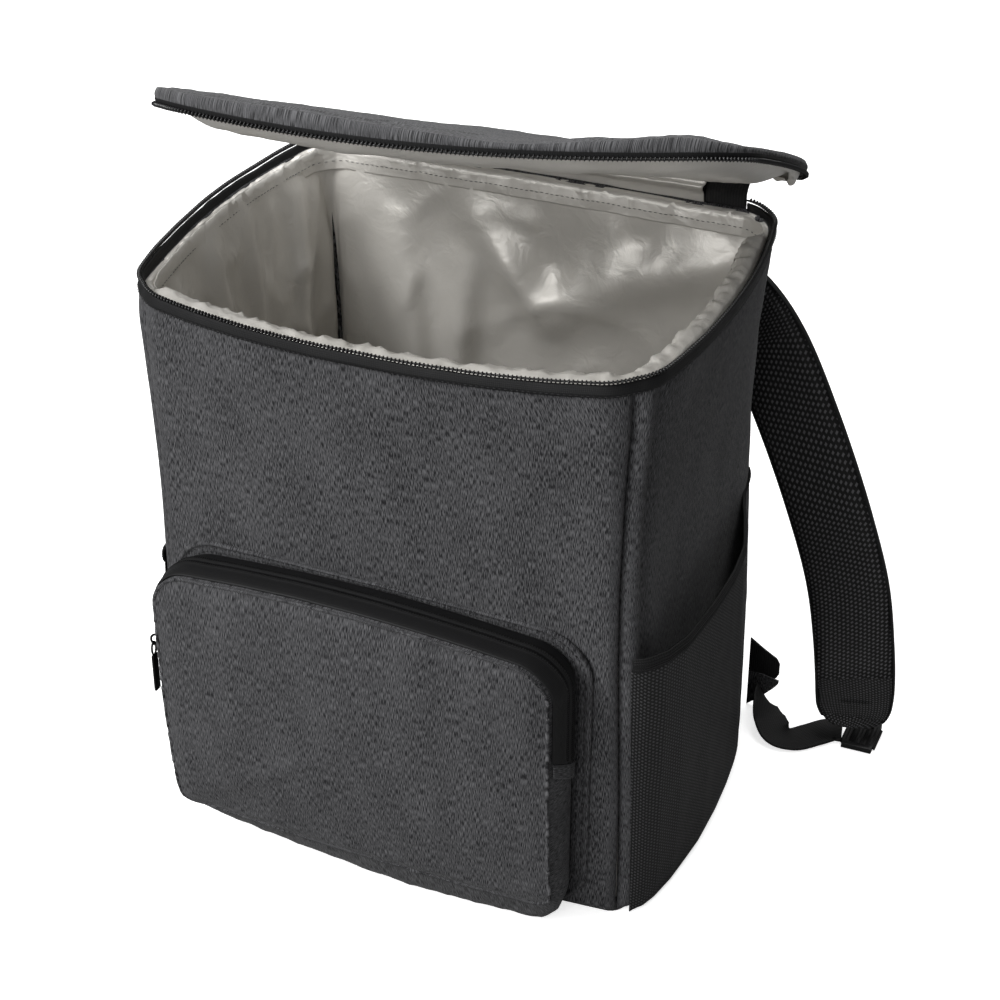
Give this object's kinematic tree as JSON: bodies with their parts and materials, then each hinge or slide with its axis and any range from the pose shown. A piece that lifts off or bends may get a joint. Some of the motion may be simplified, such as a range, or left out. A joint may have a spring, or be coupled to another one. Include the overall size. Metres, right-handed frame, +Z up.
{
  "type": "cooler backpack",
  "caption": "Soft padded cooler backpack standing on its base with the lid propped open, silver lining, zipped front pocket, mesh side pockets and padded shoulder straps.",
  "frame": {"origin": "middle of the underside of the base", "axes": "+Z up, the front pocket faces -Y, +X is to the right seen from the front"},
  "size_m": [0.5548, 0.3436, 0.5466],
  "materials": {
    "melange_cloth": "charcoal melange woven polyester over thin foam",
    "lid_cloth": "the same melange polyester, unpadded at the edge",
    "silver_lining": "satin silver foil-faced lining sheet",
    "zip_tape": "black woven zip tape",
    "zip_coil": "black nylon zip coil",
    "black_metal": "black-coated zinc",
    "knit_mesh": "coarse black knitted mesh",
    "webbing": "black ribbed webbing",
    "spacer_mesh": "black spacer mesh over foam",
    "black_plastic": "moulded black acetal"
  },
  "bodies": {
    "bag": {"front_panel": "melange_cloth", "right_panel": "melange_cloth", "back_panel": "melange_cloth", "left_panel": "melange_cloth", "base_panel": "melange_cloth", "lining": "silver_lining", "lining_binding": "silver_lining", "rim_zip_tape": "zip_tape", "rim_zip_coil": "zip_coil", "rim_zip_slider": "black_metal", "lid_band": "lid_cloth", "lid_top": "lid_cloth", "lid_zip_tape": "zip_tape", "lid_zip_coil": "zip_coil", "lid_pad": "silver_lining", "hinge_cloth": "melange_cloth", "zip_bridge_right": "zip_tape", "zip_bridge_left": "zip_tape", "pocket_flange": "melange_cloth", "pocket_gusset": "melange_cloth", "pocket_face": "melange_cloth", "pocket_zip_tape": "zip_tape", "pocket_end_tab_right": "melange_cloth", "pocket_end_tab_left": "melange_cloth", "pocket_slider": "black_metal", "mesh_pocket_right": "knit_mesh", "mesh_pocket_right_band": "webbing", "mesh_pocket_left": "knit_mesh", "mesh_pocket_left_band": "webbing", "strap_yoke": "spacer_mesh", "strap_pad_right": "spacer_mesh", "strap_pad_left": "spacer_mesh", "adjuster_right": "black_plastic", "adjuster_left": "black_plastic", "strap_tab_right": "melange_cloth", "strap_tab_left": "melange_cloth", "webbing_anchor_right": "webbing", "webbing_anchor_left": "webbing", "strap_webbing_right": "webbing", "strap_webbing_left": "webbing"},
    "pull": {"pocket_pull": "black_metal"}
  },
  "joints": [
    {"name": "pull_swing", "type": "hinge", "parent": "bag", "child": "pull", "pos_m": [-0.15513, -0.16029, 0.15305], "axis": [0, 1, 0], "range_deg": [0, 150]}
  ]
}
